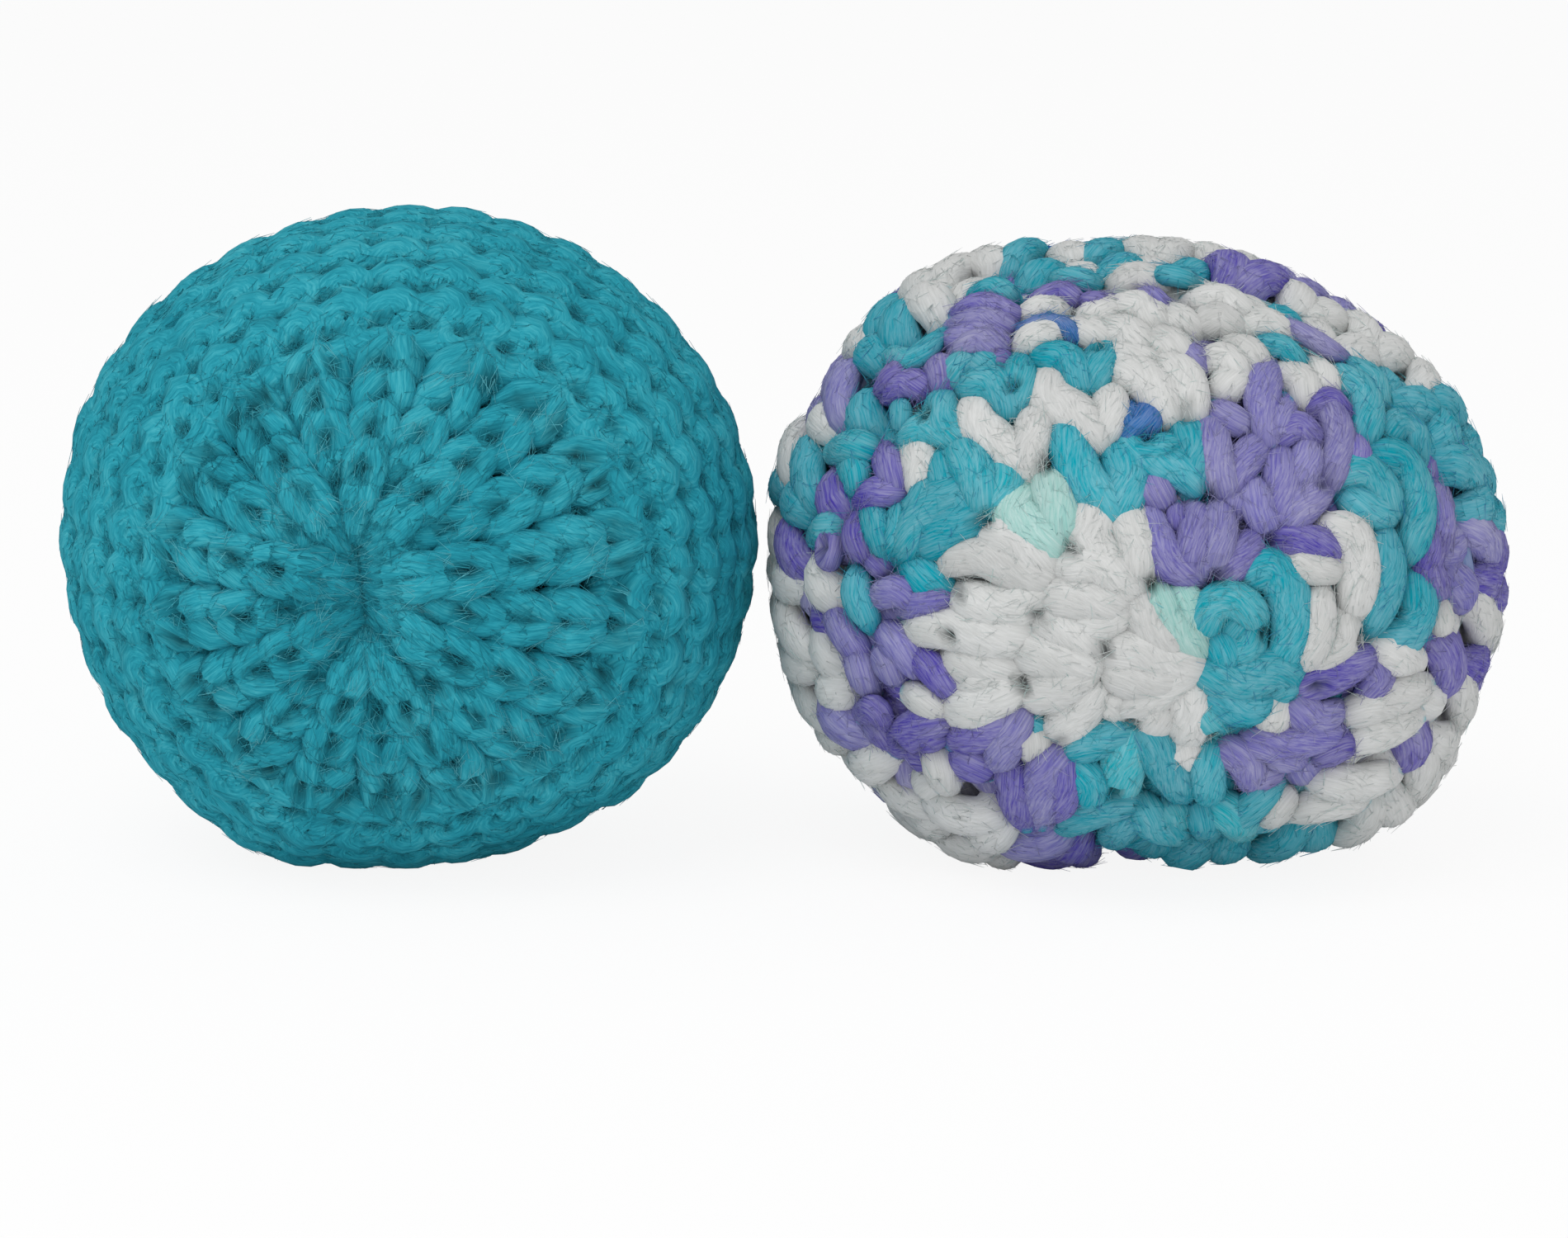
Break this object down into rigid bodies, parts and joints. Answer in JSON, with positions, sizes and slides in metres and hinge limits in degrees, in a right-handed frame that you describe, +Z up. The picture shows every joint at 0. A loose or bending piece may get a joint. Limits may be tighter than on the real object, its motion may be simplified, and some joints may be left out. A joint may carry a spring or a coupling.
{
  "type": "footbag",
  "caption": "Pair of handmade footbags side by side: a knitted ball gathered at both ends and a crocheted ball in dappled yarn, each round a pouch of pellets.",
  "frame": {"origin": "centre of the pair's box, on the surface that it stands on", "axes": "+X from the knitted footbag to the crocheted one, -Y towards the gathered faces that the picture shows, +Z up"},
  "size_m": [0.1198, 0.056, 0.0538],
  "materials": {
    "knit_yarn": "soft brushed yarn, teal",
    "crochet_yarn": "soft plied yarn, space-dyed white, teal and lavender",
    "pouch_cloth": "plain woven cloth, dark",
    "tie_thread": "matt thread",
    "pellets": "natural plastic, satin"
  },
  "bodies": {
    "knit_footbag": {"knit_cover": "knit_yarn", "knit_front_gather_yarn": "knit_yarn", "knit_back_gather_yarn": "knit_yarn", "knit_pouch": "pouch_cloth", "knit_pouch_tie": "tie_thread", "knit_pellet_fill": "pellets"},
    "crochet_footbag": {"crochet_cover": "crochet_yarn", "crochet_closing_yarn": "crochet_yarn", "crochet_pouch": "pouch_cloth", "crochet_pouch_tie": "tie_thread", "crochet_pellet_fill": "pellets"}
  },
  "joints": [
    {"name": "crochet_lift", "type": "slide", "parent": "knit_footbag", "child": "crochet_footbag", "axis": [0, 0, 1], "range_m": [0, 0.1]}
  ]
}
